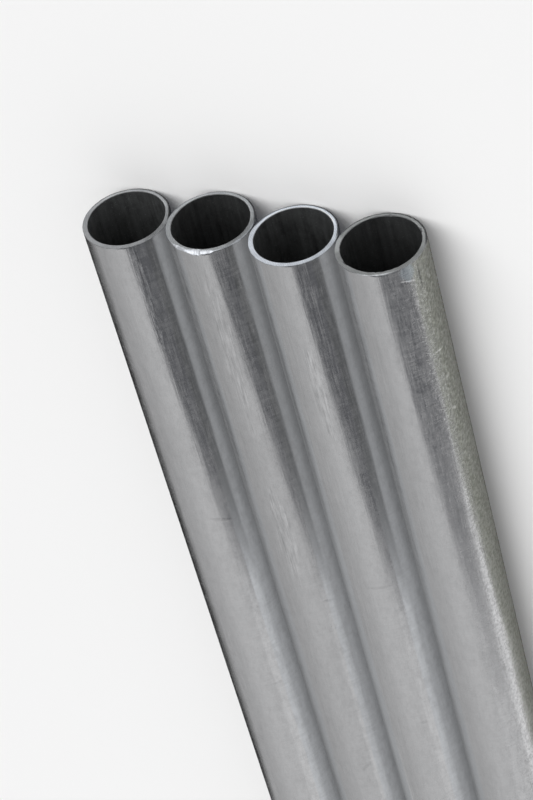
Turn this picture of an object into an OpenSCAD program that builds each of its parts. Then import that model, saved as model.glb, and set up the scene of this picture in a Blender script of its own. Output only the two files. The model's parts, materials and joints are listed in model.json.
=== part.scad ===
// Row of four round aluminium tubes, sawn to length and laid side by side on a level surface.
// X runs across the row, Y along the tubes and Z up. The first tube lies at the +X side, and
// the near ends, which are not quite flush, look towards -Y.
// The origin is the centre of the row's footprint.

/* [Tube] */
// Outside diameter of every tube
tube_d = 25; // [12:0.5:60]
// Wall thickness
wall_t = 1.5; // [1:0.1:4]
// Length that the tubes are cut to
tube_len = 1000; // [100:10:6000]

/* [Sawn ends] */
// Chamfer that deburring leaves on the outer edge of a cut
outer_break = 0.2; // [0.05:0.05:0.4]
// Chamfer that deburring leaves on the inner edge of a cut
inner_break = 0.2; // [0.05:0.05:0.4]

/* [Row] */
// Gaps between neighbours, counted from the first tube
side_gaps = [2.3, 0.2, 1.3]; // [0.1:0.1:10]
// How far each near end stands forward of the row's hindmost one
end_steps = [0, 3.8, 3.5, 5.3]; // [0:0.1:40]

/* [Hidden] */
NODES = ["tube_1", "tube_2", "tube_3", "tube_4"];
$fn = 96;

mill_finish = [0.66, 0.67, 0.69];
outer_r = tube_d / 2;
bore_r = outer_r - wall_t;
row_w = len(NODES) * tube_d + gaps_before(len(NODES));
step_spread = max(end_steps) - min(end_steps);

// Sum of the gaps between the first tube and tube n
function gaps_before(n) = n < 2 ? 0 : side_gaps[n - 2] + gaps_before(n - 1);

// Middle of tube n across the row
function tube_x(n) = row_w / 2 - outer_r - (n - 1) * tube_d - gaps_before(n);

// Plane of tube n's near cut, with the whole row centred along Y
function near_y(n) = max(end_steps) - end_steps[n - 1] - (tube_len + step_spread) / 2;

// Section of the wall as [radius, distance from the near cut], with all four edges broken
function wall_section() = [
    [bore_r, inner_break],
    [bore_r + inner_break, 0],
    [outer_r - outer_break, 0],
    [outer_r, outer_break],
    [outer_r, tube_len - outer_break],
    [outer_r - outer_break, tube_len],
    [bore_r + inner_break, tube_len],
    [bore_r, tube_len - inner_break]
];

// Tube n of the row, turned from its wall section and laid down along Y on the plane Z = 0
module tube(n) {
    color(mill_finish)
        translate([tube_x(n), near_y(n), outer_r])
            rotate([-90, 0, 0])
                rotate_extrude() polygon(wall_section());
}

tube(1);  // tube_1
tube(2);  // tube_2
tube(3);  // tube_3
tube(4);  // tube_4
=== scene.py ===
"""Finished look of a row of four round drawn aluminium tubes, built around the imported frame.

Each tube is one closed surface: its wall section, with broken edges, carried round the tube's
axis on a grid. The near cuts differ from tube to tube, as sawn and deburred ends do. Lengths are
in metres, and the patterns in the finishes are laid out in millimetres on the metal itself.
"""

import json
import logging
import math
from collections.abc import Iterable, Mapping, Sequence
from dataclasses import dataclass, field
from enum import Enum
from typing import ClassVar

import bpy
import numpy as np
from mathutils import Matrix, Vector


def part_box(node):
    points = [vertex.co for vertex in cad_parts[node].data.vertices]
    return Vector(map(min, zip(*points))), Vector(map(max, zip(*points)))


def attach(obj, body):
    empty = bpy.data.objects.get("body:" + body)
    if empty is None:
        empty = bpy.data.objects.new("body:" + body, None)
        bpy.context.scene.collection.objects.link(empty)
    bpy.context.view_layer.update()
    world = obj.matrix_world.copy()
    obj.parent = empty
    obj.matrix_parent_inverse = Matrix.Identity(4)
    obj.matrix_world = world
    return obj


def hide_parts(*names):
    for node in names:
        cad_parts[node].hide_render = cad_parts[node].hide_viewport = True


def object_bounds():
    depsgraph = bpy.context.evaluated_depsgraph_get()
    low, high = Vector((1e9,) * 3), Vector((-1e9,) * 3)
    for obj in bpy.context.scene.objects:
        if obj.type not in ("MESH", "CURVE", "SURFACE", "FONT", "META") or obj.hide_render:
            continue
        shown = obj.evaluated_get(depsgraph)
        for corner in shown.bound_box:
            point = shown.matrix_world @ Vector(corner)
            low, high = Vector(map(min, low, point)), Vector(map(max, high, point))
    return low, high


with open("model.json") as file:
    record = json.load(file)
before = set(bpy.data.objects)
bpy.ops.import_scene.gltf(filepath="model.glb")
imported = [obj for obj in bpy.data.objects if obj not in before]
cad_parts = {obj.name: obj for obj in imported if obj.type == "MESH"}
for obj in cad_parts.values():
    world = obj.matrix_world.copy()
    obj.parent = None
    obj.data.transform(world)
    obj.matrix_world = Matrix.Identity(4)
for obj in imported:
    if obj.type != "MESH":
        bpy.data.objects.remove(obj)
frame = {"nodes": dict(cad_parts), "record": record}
CAD_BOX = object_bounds()

MM = 0.001
PER_MM = 1000.0
SURFACE_MAP = "surface"
SEAM_BELOW = 90.0
LOG = logging.getLogger("tube_row")

Socket = bpy.types.NodeSocket
Value = float | Sequence[float] | Socket
Span = tuple[float, float]
Triple = tuple[float, float, float]
Shade = Triple
Weights = Mapping[str, float]
Rows = tuple[np.ndarray, np.ndarray]


def add_object(name: str, data: bpy.types.ID) -> bpy.types.Object:
    """Makes an object and links it into the scene.

    Args:
        name: its name.
        data: its mesh, lamp or camera.

    Returns:
        The object.
    """
    made = bpy.data.objects.new(name, data)
    bpy.context.scene.collection.objects.link(made)
    return made


# ---------------------------------------------------------------------------------------------
# Node networks


class Network:
    """Shorthand for building one node tree."""

    def __init__(self, tree: bpy.types.NodeTree) -> None:
        """Starts with an empty tree."""
        self.tree = tree
        tree.nodes.clear()

    @classmethod
    def of(cls, owner: bpy.types.Material | bpy.types.World) -> "Network":
        """Starts the network of a material or a world."""
        owner.use_nodes = True
        return cls(owner.node_tree)

    def node(self, kind: str, *values: Value, **settings: object) -> bpy.types.Node:
        """Adds a node.

        Args:
            kind: its type, without the ShaderNode prefix.
            values: what its first inputs are fed, in order.
            settings: properties to set on it.

        Returns:
            The new node.
        """
        made = self.tree.nodes.new("ShaderNode" + kind)
        for name, value in settings.items():
            setattr(made, name, value)
        for socket, value in zip(made.inputs, values, strict=False):
            self.feed(socket, value)
        return made

    def feed(self, socket: Socket, value: Value) -> None:
        """Links a socket to another, or sets its value, adding a colour's alpha.

        Args:
            socket: the input.
            value: the other socket, or the value.
        """
        if isinstance(value, bpy.types.NodeSocket):
            self.tree.links.new(value, socket)
        else:
            socket.default_value = (*value, 1.0) if socket.type == "RGBA" else value

    def math(self, operation: str, *values: Value) -> Socket:
        """Adds a Math node and returns its result."""
        return self.node("Math", *values, operation=operation).outputs[0]

    def vector(self, operation: str, *values: Value) -> Socket:
        """Adds a Vector Math node and returns its vector, or its value where it has only that."""
        made = self.node("VectorMath", *values, operation=operation)
        return made.outputs["Value" if operation in ("LENGTH", "DOT_PRODUCT") else "Vector"]

    def join(self, x: Value = 0.0, y: Value = 0.0, z: Value = 0.0) -> Socket:
        """Adds a vector made of three values."""
        return self.node("CombineXYZ", x, y, z).outputs[0]

    def grey(self, value: Value) -> Socket:
        """Adds a vector with the same value on all three axes."""
        return self.join(value, value, value)

    def part(self, vector: Socket, axis: str) -> Socket:
        """Adds one part of a vector."""
        return self.node("SeparateXYZ", vector).outputs[axis]

    def step(self, value: Value, low: Value, high: Value, start: float = 0.0, end: float = 1.0) -> Socket:
        """Maps a value smoothly from low..high to start..end, and holds it beyond them."""
        made = self.node("MapRange", value, low, high, start, end, interpolation_type="SMOOTHSTEP")
        return made.outputs["Result"]

    def noise(self, place: Socket, detail: float, scale: float = 1.0, roughness: float = 0.5) -> Socket:
        """Adds a 3-D noise.

        Args:
            place: where it is taken.
            detail: how many finer layers it has.
            scale: how many waves it has over a length of 1.
            roughness: how strong its finer layers are.

        Returns:
            Its value, from 0 to 1 about a mean of one half.
        """
        made = self.node("TexNoise", place)
        for name, value in {"Scale": scale, "Detail": detail, "Roughness": roughness}.items():
            made.inputs[name].default_value = value
        return made.outputs["Fac"]

    def swing(self, value: Socket) -> Socket:
        """Takes one half off a value, so that it swings about 0."""
        return self.math("SUBTRACT", value, 0.5)

    def mix(self, share: Value, first: Value, second: Value) -> Socket:
        """Mixes two colours.

        Args:
            share: how much of the second there is.
            first: the first colour.
            second: the second colour.

        Returns:
            The mixed colour.
        """
        made = self.node("Mix", share, data_type="RGBA")
        colours = (socket for socket in made.inputs if socket.type == "RGBA")
        for socket, value in zip(colours, (first, second), strict=True):
            self.feed(socket, value)
        return next(socket for socket in made.outputs if socket.type == "RGBA")

    def weigh(self, start: Value, patterns: Mapping[str, Socket], weights: Weights) -> Value:
        """Adds to a value each pattern that has a weight, times that weight.

        Args:
            start: the value.
            patterns: what they give, by name.
            weights: the weights, by the same names.

        Returns:
            The sum.
        """
        total = start
        for name, weight in weights.items():
            total = self.math("MULTIPLY_ADD", patterns[name], weight, total)
        return total

    def place(self, group: bpy.types.NodeTree, **inputs: Value) -> Socket:
        """Adds a node group.

        Args:
            group: the group.
            inputs: what its inputs are fed, by name.

        Returns:
            Its output.
        """
        made = self.node("Group", node_tree=group)
        for name, value in inputs.items():
            self.feed(made.inputs[name], value)
        return made.outputs[0]


class Effect:
    """A shader node group with named inputs and one named output, which several finishes share."""

    def __init__(self, name: str, output: str, **inputs: float | None) -> None:
        """Makes the group and its interface.

        Args:
            name: the group's name.
            output: the name of what it gives.
            inputs: each input's default, or None for a vector.
        """
        self.tree = bpy.data.node_groups.new(name, "ShaderNodeTree")
        self.net = Network(self.tree)
        for label, default in inputs.items():
            kind = "NodeSocketVector" if default is None else "NodeSocketFloat"
            made = self.tree.interface.new_socket(name=label, in_out="INPUT", socket_type=kind)
            if default is not None:
                made.default_value = default
        self.tree.interface.new_socket(name=output, in_out="OUTPUT", socket_type="NodeSocketFloat")
        start = self.tree.nodes.new("NodeGroupInput")
        self.given = {name: start.outputs[name] for name in inputs}

    def give(self, value: Socket) -> bpy.types.NodeTree:
        """Links a result to the group's output and returns the group."""
        self.net.feed(self.tree.nodes.new("NodeGroupOutput").inputs[0], value)
        return self.tree


# ---------------------------------------------------------------------------------------------
# Shared effects


def draw_streaks() -> bpy.types.NodeTree:
    """Streaks that drawing through a die leaves: noise stretched along the tube.

    Returns:
        A group that takes a place in millimetres with Y along the tube, the streaks' width and
        length, and a seed, and gives their height as a swing about 0.
    """
    made = Effect("Draw streaks", "Swing", Place=None, Width=1.0, Length=20.0, Seed=0.0)
    net = made.net
    across = net.math("DIVIDE", 1.0, made.given["Width"])
    along = net.math("DIVIDE", 1.0, made.given["Length"])
    stretched = net.vector("MULTIPLY", made.given["Place"], net.join(across, along, across))
    spot = net.vector("ADD", stretched, net.join(y=made.given["Seed"]))
    return made.give(net.swing(net.noise(spot, detail=2.5, roughness=0.55)))


def oxide_clouds() -> bpy.types.NodeTree:
    """Soft patches where handling and oxide dull the metal.

    Returns:
        A group that takes a place, the patches' size and how far they stretch along the tube,
        the noise levels where a patch starts and is full, and a seed, and gives a mask.
    """
    made = Effect("Oxide clouds", "Mask", Place=None, Size=10.0, Stretch=2.0, Low=0.45, High=0.65, Seed=0.0)
    net = made.net
    across = net.math("DIVIDE", 1.0, made.given["Size"])
    along = net.math("DIVIDE", across, made.given["Stretch"])
    stretched = net.vector("MULTIPLY", made.given["Place"], net.join(across, along, across))
    spot = net.vector("ADD", stretched, net.join(made.given["Seed"]))
    noise = net.noise(spot, detail=4.0, roughness=0.6)
    return made.give(net.step(noise, made.given["Low"], made.given["High"]))


def scratch_field() -> bpy.types.NodeTree:
    """Single slightly bowed scratches, one in each cell of a scattered grid.

    In each cell the distance across and along a line through the cell's own point is compared
    with the scratch's width and length. The line's direction is random about a mean, and so is
    its length. A scratch is full over the inner part of its width and of its length.

    Returns:
        A group that takes a place on the surface (round the tube, along it) in millimetres, and
        gives a mask.
    """
    bow, shortest = 0.3, 0.3
    full_width, full_length = 0.3, 0.5
    made = Effect("Scratch field", "Mask", Surface=None, Cell=4.0, Length=3.0, Width=0.1, Turn=0.0,
                  Spread=3.0, Share=0.5, Seed=0.0)
    net = made.net
    counted = net.vector("DIVIDE", made.given["Surface"], net.grey(made.given["Cell"]))
    spot = net.vector("ADD", counted, net.join(made.given["Seed"]))
    cells = net.node("TexVoronoi", spot, voronoi_dimensions="2D")
    cells.inputs["Scale"].default_value = 1.0
    chances = net.node("SeparateColor", cells.outputs["Color"]).outputs
    lean = net.math("MULTIPLY", net.swing(chances[0]), made.given["Spread"])
    offset = net.vector("SUBTRACT", spot, cells.outputs["Position"])
    turn = net.node("VectorRotate", offset, rotation_type="Z_AXIS")
    net.feed(turn.inputs["Angle"], net.math("ADD", lean, made.given["Turn"]))
    local = net.node("SeparateXYZ", turn.outputs[0]).outputs
    square = net.math("MULTIPLY", local["X"], local["X"])
    across = net.math("ABSOLUTE", net.math("MULTIPLY_ADD", square, bow, local["Y"]))
    along = net.math("ABSOLUTE", local["X"])
    two_cells = net.math("MULTIPLY", made.given["Cell"], 2.0)
    half_width = net.math("DIVIDE", made.given["Width"], two_cells)
    half_length = net.math("DIVIDE", made.given["Length"], two_cells)
    reach = net.math("MULTIPLY", half_length, net.math("MULTIPLY_ADD", chances[1], 1 - shortest, shortest))
    thin = net.step(across, net.math("MULTIPLY", half_width, full_width), half_width, 1.0, 0.0)
    ends = net.step(along, net.math("MULTIPLY", reach, full_length), reach, 1.0, 0.0)
    there = net.math("LESS_THAN", chances[2], made.given["Share"])
    return made.give(net.math("MULTIPLY", net.math("MULTIPLY", thin, ends), there))


def saw_marks() -> bpy.types.NodeTree:
    """Fine arcs that a circular blade leaves across a cut: waves of the distance from its centre.

    Returns:
        A group that takes a place in millimetres from the tube's axis, the marks' pitch, the
        blade's reach and a seed, and gives the marks' height from 0 to 1.
    """
    centre_shift = 9.0
    wobble_scale, wobble = 0.7, 4.0
    grain_scale, grain_height = 3.0, 0.4
    wave_height = 0.3
    made = Effect("Saw marks", "Height", Place=None, Pitch=0.5, Reach=90.0, Seed=0.0)
    net = made.net
    flat = net.vector("MULTIPLY", made.given["Place"], (1.0, 0.0, 1.0))
    centre = net.join(made.given["Reach"], 0.0, net.math("MULTIPLY", made.given["Seed"], centre_shift))
    distance = net.vector("LENGTH", net.vector("SUBTRACT", flat, centre))
    turns = net.math("DIVIDE", net.math("MULTIPLY", distance, math.tau), made.given["Pitch"])
    uneven = net.noise(flat, detail=3.0, scale=wobble_scale)
    wave = net.math("SINE", net.math("MULTIPLY_ADD", uneven, wobble, turns))
    waves = net.math("MULTIPLY_ADD", wave, wave_height, wave_height)
    grain = net.noise(flat, detail=3.0, scale=grain_scale)
    return made.give(net.math("MULTIPLY_ADD", grain, grain_height, waves))


def mark_window() -> bpy.types.NodeTree:
    """A patch with a ragged soft edge: the distance from its middle, in shares of its half sizes.

    Returns:
        A group that takes a place on the surface, the patch's middle and half sizes, all in
        millimetres, how ragged its edge is, and a seed, and gives a mask.
    """
    full_within = 0.55
    rags = (0.5, 0.12, 0.0)
    made = Effect("Mark window", "Mask", Surface=None, Middle=None, Half=None, Ragged=0.5, Seed=0.0)
    net = made.net
    away = net.vector("SUBTRACT", made.given["Surface"], made.given["Middle"])
    shares = net.vector("DIVIDE", away, made.given["Half"])
    spot = net.vector("ADD", net.vector("MULTIPLY", away, rags), net.join(z=made.given["Seed"]))
    ragged = net.math("MULTIPLY", net.swing(net.noise(spot, detail=3.0)), made.given["Ragged"])
    distance = net.math("ADD", net.vector("LENGTH", shares), ragged)
    return made.give(net.step(distance, full_within, 1.0, 1.0, 0.0))


def cross_hatch() -> bpy.types.NodeTree:
    """Very fine scratches along the tube and round it: the mean of two noises stretched so.

    Returns:
        A group that takes a place on the surface in millimetres, the lines' pitch, their length
        and a seed, and gives their height as a swing about 0.
    """
    made = Effect("Cross hatch", "Swing", Surface=None, Pitch=0.5, Length=6.0, Seed=0.0)
    net = made.net
    fine = net.math("DIVIDE", 1.0, made.given["Pitch"])
    coarse = net.math("DIVIDE", 1.0, made.given["Length"])
    shift = net.join(z=made.given["Seed"])
    total = 0.0
    for across, along in ((fine, coarse), (coarse, fine)):
        stretched = net.vector("MULTIPLY", made.given["Surface"], net.join(across, along))
        lines = net.noise(net.vector("ADD", stretched, shift), detail=2.0)
        total = net.math("MULTIPLY_ADD", lines, 0.5, total)
    return made.give(net.swing(total))


@dataclass(frozen=True)
class Effects:
    """The node groups that the finishes share, built once."""

    streaks: bpy.types.NodeTree = field(default_factory=draw_streaks)
    clouds: bpy.types.NodeTree = field(default_factory=oxide_clouds)
    scratches: bpy.types.NodeTree = field(default_factory=scratch_field)
    saw: bpy.types.NodeTree = field(default_factory=saw_marks)
    window: bpy.types.NodeTree = field(default_factory=mark_window)
    hatch: bpy.types.NodeTree = field(default_factory=cross_hatch)


# ---------------------------------------------------------------------------------------------
# Sizes and the metal that patterns lie on


@dataclass(frozen=True)
class TubeSize:
    """Where one tube lies and how big it is, read from the frame."""

    node: str
    axis: Span
    outer_r: float
    bore_r: float
    near_y: float
    far_y: float

    @classmethod
    def of_node(cls, node: str, bore_r: float) -> "TubeSize":
        """Measures a CAD tube.

        Args:
            node: the CAD node's name.
            bore_r: radius of its bore.

        Returns:
            The tube's size and place.
        """
        low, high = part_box(node)
        middle = (low + high) / 2
        return cls(node, (middle.x, middle.z), (high.x - low.x) / 2, bore_r, low.y, high.y)

    @property
    def length(self) -> float:
        """Length from cut to cut."""
        return self.far_y - self.near_y

    def arc(self, angle: float) -> float:
        """Turns degrees round the tube into millimetres from its seam."""
        return math.radians(angle + SEAM_BELOW) * self.outer_r * PER_MM


class Metal:
    """A metal material as it is built up, with the places in millimetres that its patterns lie on.

    Its place is measured from the middle of the near cut. Its surface is the distance round the
    tube, then the distance along a wall, or from the axis on a cut.
    """

    def __init__(self, name: str, fx: Effects, size: TubeSize, seed: float, **constants: float) -> None:
        """Starts the material.

        Args:
            name: the finish's name.
            fx: the shared effects.
            size: the tube that it is for.
            seed: varies its patterns.
            constants: values for the shader's own sockets.
        """
        self.fx = fx
        self.size = size
        self.seed = seed
        self.material = bpy.data.materials.new(f"{name}_{size.node}")
        net = self.net = Network.of(self.material)
        self.shader = net.node("BsdfPrincipled")
        net.node("OutputMaterial", self.shader.outputs[0])
        for socket, value in {"Metallic": 1.0, **constants}.items():
            self.shader.inputs[socket].default_value = value
        centre = (size.axis[0], size.near_y, size.axis[1])
        from_cut = net.vector("SUBTRACT", net.node("TexCoord").outputs["Object"], centre)
        mapped = net.node("UVMap", uv_map=SURFACE_MAP).outputs[0]
        self.place = net.vector("MULTIPLY", from_cut, (PER_MM,) * 3)
        self.surface = net.vector("MULTIPLY", mapped, (PER_MM,) * 3)
        self.outward = net.vector("NORMALIZE", net.vector("MULTIPLY", self.place, (1.0, 0.0, 1.0)))

    def facing(self, across: float, up: float) -> Socket:
        """Adds how far each place faces a direction, from -1 to 1."""
        return self.net.vector("DOT_PRODUCT", self.outward, (across, 0.0, up))

    def window(self, surface: Socket, middle: Span, half: Span, ragged: float, shift: float) -> Socket:
        """Adds the mask of a marked place, from its middle, half its size and how ragged its edge is."""
        return self.net.place(self.fx.window, Surface=surface, Middle=(*middle, 0.0), Half=(*half, 1.0),
                              Ragged=ragged, Seed=self.seed + shift)

    def finish(self, colour: Value, rough: Value, height: Value) -> bpy.types.Material:
        """Feeds the shader and ends the material.

        Args:
            colour: its colour.
            rough: its roughness.
            height: its relief in millimetres.

        Returns:
            The finished material.
        """
        bump = self.net.node("Bump")
        for socket, value in {"Strength": 1.0, "Distance": MM, "Height": height}.items():
            self.net.feed(bump.inputs[socket], value)
        for socket, value in {"Base Color": colour, "Roughness": rough, "Normal": bump.outputs[0]}.items():
            self.net.feed(self.shader.inputs[socket], value)
        return self.material


@dataclass(frozen=True, kw_only=True)
class Pattern:
    """A shared effect with values of its own: each field but the shift is an input of its group."""

    effect: ClassVar[str]
    lies_on: ClassVar[str]
    shift: float = 0.0

    def add(self, metal: Metal) -> Socket:
        """Adds the pattern to a metal.

        Args:
            metal: the metal.

        Returns:
            What the pattern gives.
        """
        values = {name.title(): value for name, value in vars(self).items() if name != "shift"}
        values[self.lies_on.title()] = getattr(metal, self.lies_on)
        return metal.net.place(getattr(metal.fx, self.effect), Seed=metal.seed + self.shift, **values)

    @staticmethod
    def add_all(metal: Metal, patterns: Mapping[str, "Pattern"]) -> dict[str, Socket]:
        """Adds patterns to a metal and returns what they give, by name."""
        return {name: pattern.add(metal) for name, pattern in patterns.items()}


@dataclass(frozen=True)
class Streaks(Pattern):
    """Draw streaks: their width and length in millimetres."""

    effect = "streaks"
    lies_on = "place"
    width: float
    length: float


@dataclass(frozen=True)
class Clouds(Pattern):
    """Oxide clouds: their size in millimetres, how far they stretch along the tube, and the noise
    levels where one starts and is full.
    """

    effect = "clouds"
    lies_on = "place"
    size: float
    stretch: float
    low: float
    high: float


@dataclass(frozen=True)
class Scratches(Pattern):
    """Scattered scratches: their cell, length and width in millimetres, the mean and the spread of
    their direction in radians, and the share of cells that hold one.
    """

    effect = "scratches"
    lies_on = "surface"
    cell: float
    length: float
    width: float
    turn: float
    spread: float
    share: float


@dataclass(frozen=True)
class Hatch(Pattern):
    """Cross hatch: the pitch and length of its lines in millimetres."""

    effect = "hatch"
    lies_on = "surface"
    pitch: float
    length: float


@dataclass(frozen=True)
class SawArcs(Pattern):
    """Saw marks: their pitch and the blade's reach in millimetres."""

    effect = "saw"
    lies_on = "place"
    pitch: float
    reach: float


# ---------------------------------------------------------------------------------------------
# Finish of the wall


@dataclass(frozen=True)
class Shares:
    """How much of each pattern goes into a wall's relief in millimetres, roughness, haze and tone.

    A stain is a tint and how much of each pattern mixes it into the colour, before the tone.
    """

    height: Weights = field(default_factory=dict)
    rough: Weights = field(default_factory=dict)
    haze: Weights = field(default_factory=dict)
    tone: Weights = field(default_factory=dict)
    stains: tuple[tuple[Shade, Weights], ...] = ()


@dataclass
class Skin:
    """A wall's surface as it is built up: relief in millimetres, roughness, haze and colour.

    Haze is the share of light that fine scratches and oxide scatter instead of mirroring it.
    """

    net: Network
    rough: Value
    haze: Value
    colour: Value
    height: Value = 0.0

    def lay(self, patterns: Mapping[str, Socket], shares: Shares, tone: float = 1.0) -> None:
        """Adds patterns to the surface.

        Args:
            patterns: what they give, by name.
            shares: how much of each goes into what.
            tone: how bright the colour is where they give 0.
        """
        self.height = self.net.weigh(self.height, patterns, shares.height)
        self.rough = self.net.weigh(self.rough, patterns, shares.rough)
        self.haze = self.net.weigh(self.haze, patterns, shares.haze)
        for tint, weights in shares.stains:
            self.colour = self.net.mix(self.net.weigh(0.0, patterns, weights), self.colour, tint)
        if shares.tone:
            toned = self.net.grey(self.net.weigh(tone, patterns, shares.tone))
            self.colour = self.net.vector("MULTIPLY", toned, self.colour)


class MarkKind(Enum):
    """What was done to a marked place: shares of its mask, and of lumps and threads within it."""

    RUB = Shares({"lumps": 0.05, "threads": 0.012}, {"mask": 0.01, "lumps": 0.10},
                 tone={"lumps": 0.50, "threads": 0.95})
    DRAG = Shares({"threads": 0.016}, haze={"threads": 0.80, "mask": 0.01})
    PRESS = Shares({"mask": -0.003}, tone={"mask": -0.11})
    # A painted glint: a bluish pale patch that stands in for a light blue reflection near the cut.
    BLUE_GLINT = Shares(haze={"mask": 0.189, "threads": 0.63}, stains=(((0.62, 0.70, 0.76), {"mask": 0.7}),))
    NICK = Shares(haze={"mask": 0.34}, tone={"mask": 0.70})
    SCORE = Shares(tone={"mask": -0.45})


@dataclass(frozen=True)
class Mark:
    """A marked place: its middle as degrees round the tube and millimetres along, and half its size.

    Its slant is how far it runs along the tube for each millimetre round it.
    """

    kind: MarkKind
    angle: float
    along: float
    half_arc: float
    half_length: float
    slant: float = 0.0
    ragged: ClassVar[float] = 1.1
    swings: ClassVar[Mapping[str, Pattern]] = {
        "lumps": Streaks(0.80, 3.6, shift=31.0),
        "threads": Streaks(0.36, 9.0, shift=37.0),
    }

    def lay(self, metal: Metal, skin: Skin, swings: Mapping[str, Socket], shift: float) -> None:
        """Adds the mark to a wall's skin.

        Args:
            metal: the wall's material.
            skin: the wall's skin.
            swings: the lumps and the threads.
            shift: varies the mark's edge.
        """
        net = metal.net
        arc = metal.size.arc(self.angle)
        run = net.vector("DOT_PRODUCT", metal.surface, (self.slant, 0.0, 0.0))
        surface = net.vector("SUBTRACT", metal.surface, net.join(y=run))
        middle = (arc, self.along - self.slant * arc)
        mask = metal.window(surface, middle, (self.half_arc, self.half_length), self.ragged, shift)
        within = {name: net.math("MULTIPLY", mask, swing) for name, swing in swings.items()}
        skin.lay({"mask": mask, **within}, self.kind.value)


@dataclass(frozen=True)
class ScuffedSide:
    """The side of a tube that was dragged and knocked: hatched, then scratched, then coated with a
    film. The film's olive tint is a painted reflection of dim olive ground, and painted shade
    darkens the underside, for the shaded floor that it mirrors at the tube's foot.

    The hatched, scratched and film spans are how far a place faces the scuffed side where each
    starts and where it is full. The span of the painted shade is the same for facing down. Lined
    and chipped are the stretches along the tube over which hatching, scratches and chips in the
    film grow from their least to full.
    """

    facing: Span = (-1.0, -0.05)
    hatched: Span = (0.36, 0.55)
    scratched: Span = (0.66, 0.92)
    filmed: Span = (0.90, 0.985)
    soiled: Span = (0.30, 0.45)
    lined: Span = (45.0, 105.0)
    lined_least: float = 0.10
    hatched_least: float = 0.45
    chipped: Span = (70.0, 150.0)
    chipped_least: float = 0.30
    scratches: ClassVar[Sequence[Pattern]] = (
        Scratches(1.4, 2.0, 0.32, 0.0, 1.6, 0.14, shift=1.0),
        Scratches(2.4, 3.8, 0.28, 0.15, 1.2, 0.25, shift=2.0),
        Scratches(4.2, 6.0, 0.26, 0.4, 2.6, 0.35, shift=4.0),
        Scratches(1.2, 1.2, 0.36, 0.9, 6.3, 0.25, shift=6.0),
    )
    patterns: ClassVar[Mapping[str, Pattern]] = {
        "hatch": Hatch(0.42, 3.2, shift=4.0),
        "grime_and_shade": Clouds(0.8, 1.3, 0.42, 0.62, shift=5.0),
        "flakes": Clouds(0.65, 1.5, 0.50, 0.62, shift=11.0),
    }
    shares: ClassVar[Shares] = Shares(
        height={"hatching": 0.010, "lines": -0.010, "film_mottling": 0.006},
        rough={"hatched": 0.04, "lines": 0.12, "filmed": 0.12},
        haze={"hatched": 0.06, "hatching": 1.0, "lines": 0.26, "filmed": 0.06, "flaked": 0.08},
        # Darker facing down is painted shade, for the shaded floor that the underside mirrors.
        tone={"spots": -0.28, "flaked": 0.38, "soiled": -0.50},
        # The olive stain is a painted reflection of dim olive ground, laid over the film.
        stains=(
            ((0.43, 0.435, 0.385), {"filmed": 0.36, "film_mottling": 0.22}),
            ((0.80, 0.81, 0.80), {"lines": 0.55}),
        ),
    )

    def lay(self, metal: Metal, skin: Skin) -> None:
        """Adds the scuffed side to a wall's skin.

        Args:
            metal: the wall's material.
            skin: the wall's skin.
        """
        net = metal.net
        given = Pattern.add_all(metal, self.patterns)
        facing = metal.facing(*self.facing)
        along = net.part(metal.place, "Y")
        spans = (self.hatched, self.scratched, self.filmed)
        hatched, scratched, filmed = (net.step(facing, *span) for span in spans)
        grown = net.math("MULTIPLY", hatched, net.step(along, *self.lined, 1.0, self.hatched_least))
        worn = net.math("MULTIPLY", scratched, net.step(along, *self.lined, 1.0, self.lined_least))
        chipped = net.math("MULTIPLY", filmed, net.step(along, *self.chipped, 1.0, self.chipped_least))
        lines = 0.0
        for scratches in self.scratches:
            lines = net.math("MAXIMUM", scratches.add(metal), lines)
        skin.lay({
            "hatched": hatched,
            "filmed": filmed,
            "hatching": net.math("MULTIPLY", given["hatch"], grown),
            "lines": net.math("MULTIPLY", lines, worn),
            "film_mottling": net.math("MULTIPLY", given["grime_and_shade"], filmed),
            "spots": net.math("MULTIPLY", given["grime_and_shade"], scratched),
            "flaked": net.math("MULTIPLY", given["flakes"], net.math("MAXIMUM", worn, chipped)),
            # Painted shade on the underside.
            "soiled": net.step(metal.facing(0.0, -1.0), *self.soiled),
        }, self.shares)


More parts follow.
